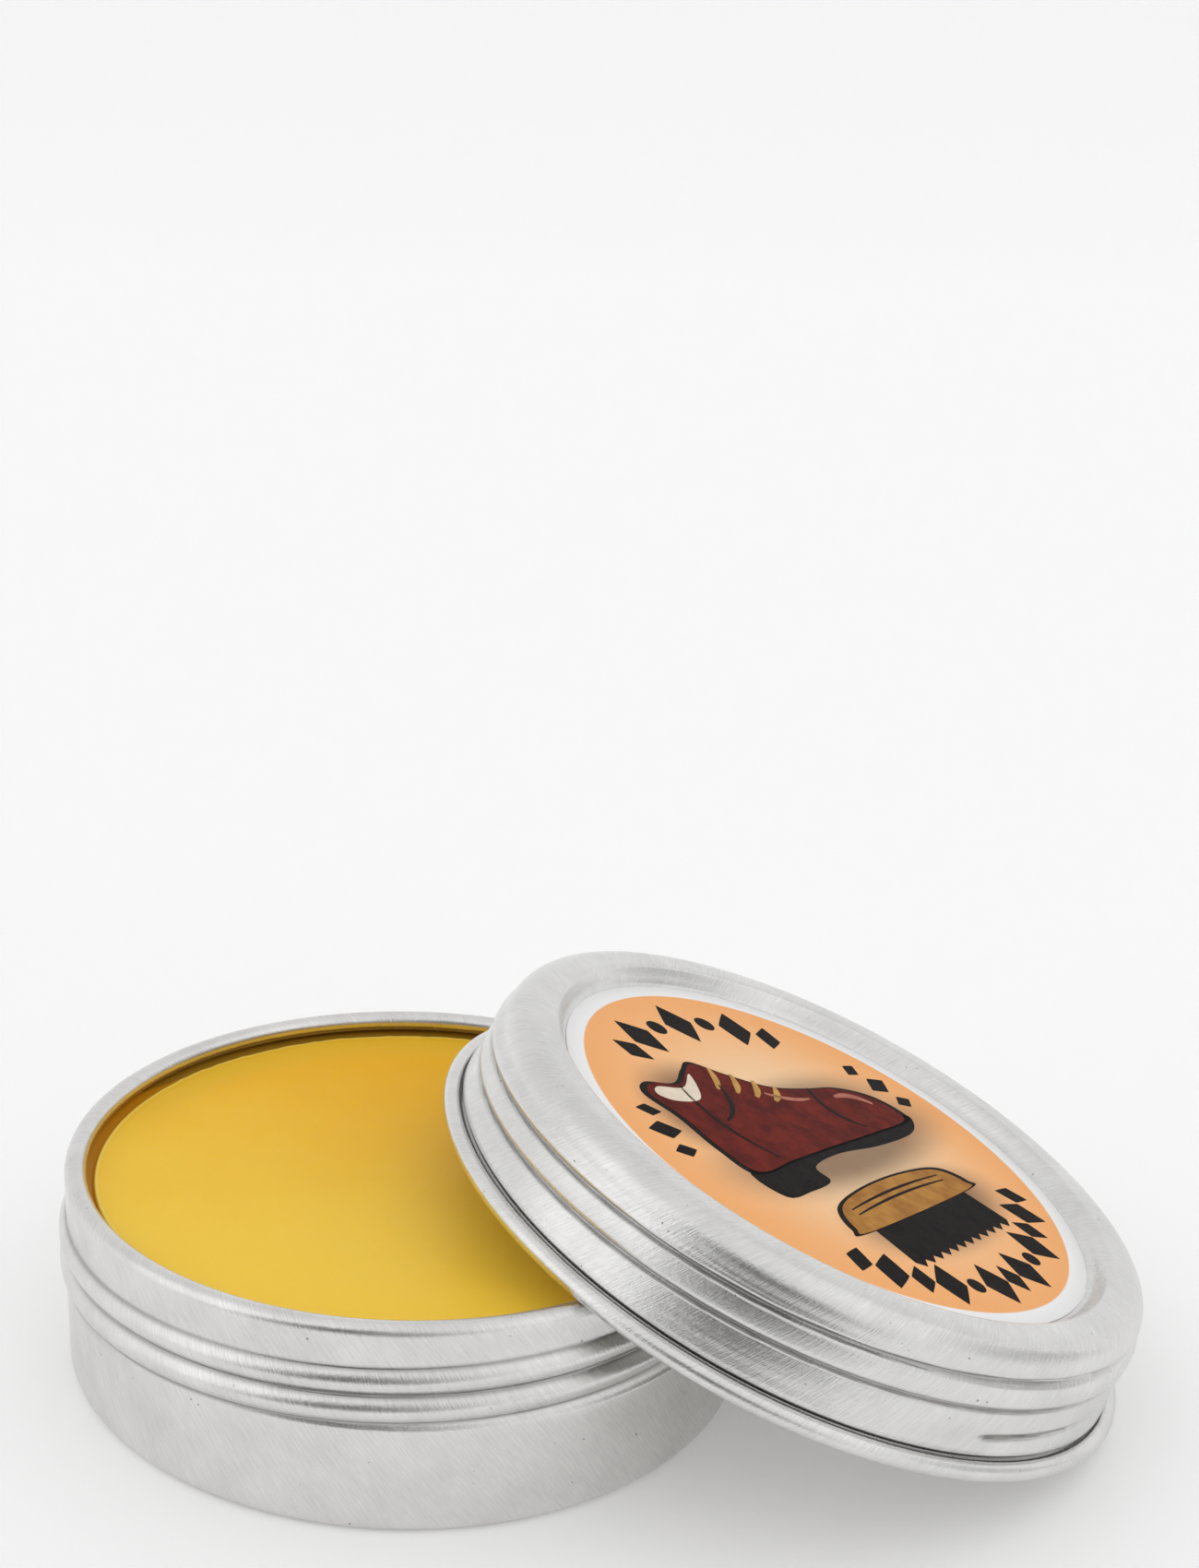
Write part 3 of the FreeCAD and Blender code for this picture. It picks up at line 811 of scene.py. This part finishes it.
def build_label():
    floor, top = 10.9, 11.0
    outline = [(0, floor + 0.01), (LABEL_RADIUS, floor + 0.01), (LABEL_RADIUS, top - 0.02)]
    outline += [(LABEL_RADIUS - 0.03, top), (0, top)]
    mesh = spun("label_paper", resample(outline, lambda r, z: 2.0), segments=240)
    paper = add_piece("label_paper", mesh, LID, "lid", "lid_label")
    paper.data.materials.append(paper_material())
    inks = {
        "ink": ((0.004, 0.003, 0.003), (0.010, 0.007, 0.006)),
        "oxblood": ((0.17, 0.013, 0.006), (0.085, 0.006, 0.003)),
        "straw": ((0.50, 0.24, 0.05), (0.36, 0.15, 0.03)),
        "ink_line": ((0.006, 0.004, 0.004), (0.014, 0.009, 0.008)),
        "gold": ((0.62, 0.36, 0.10), (0.50, 0.26, 0.06)),
        "shine": ((0.50, 0.20, 0.14), (0.40, 0.13, 0.09)),
        "lining": ((0.86, 0.76, 0.62), (0.78, 0.66, 0.50)),
    }
    film = 0.012
    for name, (shapes, layer) in label_art().items():
        mesh = plate_mesh("print_" + name, shapes, top + layer * film, film)
        piece = add_piece("print_" + name, mesh, LID, "lid")
        piece.data.materials.append(print_material("print_" + name, *inks[name]))


# ---------------------------------------------------------------- stage
def lobe(nodes, links, direction, towards, inner, outer):
    """1 inside the inner angle from a direction, 0 outside the outer one (degrees)."""
    dot = nodes.new("ShaderNodeVectorMath")
    dot.operation = "DOT_PRODUCT"
    links.new(direction, dot.inputs[0])
    dot.inputs[1].default_value = Vector(towards).normalized()
    edges = math.cos(math.radians(outer)), math.cos(math.radians(inner))
    return ramp(nodes, links, dot.outputs["Value"], *edges, 0, 1, True)


def make_floor():
    """Pale paper swept up behind the object, greyer far in front where the light falls off."""
    profile = [(-9.0, 0.0), (-2.0, 0.0), (-0.4, 0.0), (-0.1, 0.0), (0.4, 0.0), (1.2, 0.0)]
    profile += [(1.2 + math.sin(a), 1 - math.cos(a)) for a in np.linspace(0.1, math.pi / 2, 14)]
    profile += [(2.2, 3.0), (2.2, 6.0)]
    wide = 9.0
    verts = [(x, y, z) for y, z in profile for x in (-wide, wide)]
    faces = [(2 * i, 2 * i + 1, 2 * i + 3, 2 * i + 2) for i in range(len(profile) - 1)]
    mesh = bpy.data.meshes.new("floor")
    mesh.from_pydata(verts, [], faces)
    mesh.shade_smooth()
    floor = bpy.data.objects.new("floor", mesh)
    bpy.context.scene.collection.objects.link(floor)
    material, nodes, links, shader = new_material("floor_paper")
    split = nodes.new("ShaderNodeSeparateXYZ")
    links.new(object_place(nodes), split.inputs[0])
    heading = nodes.new("ShaderNodeVectorMath")
    heading.operation = "NORMALIZE"
    links.new(object_place(nodes), heading.inputs[0])
    front = lobe(nodes, links, heading.outputs[0], TOWARDS_CAMERA, *DARK_SPREAD)
    distant = ramp(nodes, links, split.outputs["Y"], -0.24, -0.075, 1, 0, True)
    far = math_node(nodes, links, "MULTIPLY", front, distant)
    white, grey = (FLOOR_WHITE,) * 3, (FLOOR_GREY,) * 3
    links.new(colour_mix(nodes, links, far, white, grey), shader.inputs["Base Color"])
    shader.inputs["Roughness"].default_value = 1.0
    shader.inputs["Specular IOR Level"].default_value = 0.0
    shader.inputs["Emission Color"].default_value = (1, 1, 1, 1)
    # The paper also glows with emitted light, a painted light that lifts its shadows; less far in front
    glow = math_node(nodes, links, "MULTIPLY_ADD", far, FAR_GLOW - FLOOR_GLOW, FLOOR_GLOW)
    links.new(glow, shader.inputs["Emission Strength"])
    mesh.materials.append(material)


def make_world():
    """A white room, brighter at the sides, dark behind the camera and low on the right."""
    world = bpy.data.worlds.new("studio")
    bpy.context.scene.world = world
    world.use_nodes = True
    nodes, links = world.node_tree.nodes, world.node_tree.links
    direction = nodes.new("ShaderNodeTexCoord").outputs["Generated"]

    def side(towards, inner, outer):
        return lobe(nodes, links, direction, towards, inner, outer)

    level = math_node(nodes, links, "MULTIPLY_ADD", side((-0.8, -0.4, 0.45), 12, 40), LEFT_BOX, ROOM)
    level = math_node(nodes, links, "MULTIPLY_ADD", side((0.8, -0.3, 0.6), 12, 40), RIGHT_BOX, level)
    for towards, inner, outer, amount in (
        (TOWARDS_CAMERA, *DARK_SPREAD, DARK_HORIZON),
        ((-0.34, -0.87, 0.36), 6, 20, DARK_CAMERA),
        ((1.0, -0.1, 0.0), 12, 34, DARK_RIGHT),
    ):
        dark = math_node(nodes, links, "MULTIPLY", side(towards, inner, outer), amount)
        left = math_node(nodes, links, "SUBTRACT", 1.0, dark)
        level = math_node(nodes, links, "MULTIPLY", level, left)
    nodes["Background"].inputs["Color"].default_value = (1, 1, 1, 1)
    links.new(level, nodes["Background"].inputs["Strength"])


def make_camera():
    """In front of the tin and 23 degrees above it, with the object low in an upright frame."""
    data = bpy.data.cameras.new("camera")
    data.sensor_width = 36
    data.lens = 49.27
    data.shift_x = 0.1
    data.shift_y = 0.129
    data.clip_start = 0.01
    camera = bpy.data.objects.new("camera", data)
    bpy.context.scene.collection.objects.link(camera)
    elevation, roll = math.radians(23.15), math.radians(-1.3)
    ahead = Vector((0, math.cos(elevation), -math.sin(elevation)))
    side = Vector((1, 0, 0))
    down = ahead.cross(side)
    right = side * math.cos(roll) + down * math.sin(roll)
    below = down * math.cos(roll) - side * math.sin(roll)
    spot = -(right * -3.85 + below * 35.2 + ahead * 221.1) * MM
    axes = Matrix((right, -below, -ahead)).transposed()
    camera.matrix_world = Matrix.Translation(spot) @ axes.to_4x4()
    bpy.context.scene.camera = camera


build_object()
make_floor()
make_world()
make_camera()
bpy.context.scene.view_settings.view_transform = "Standard"
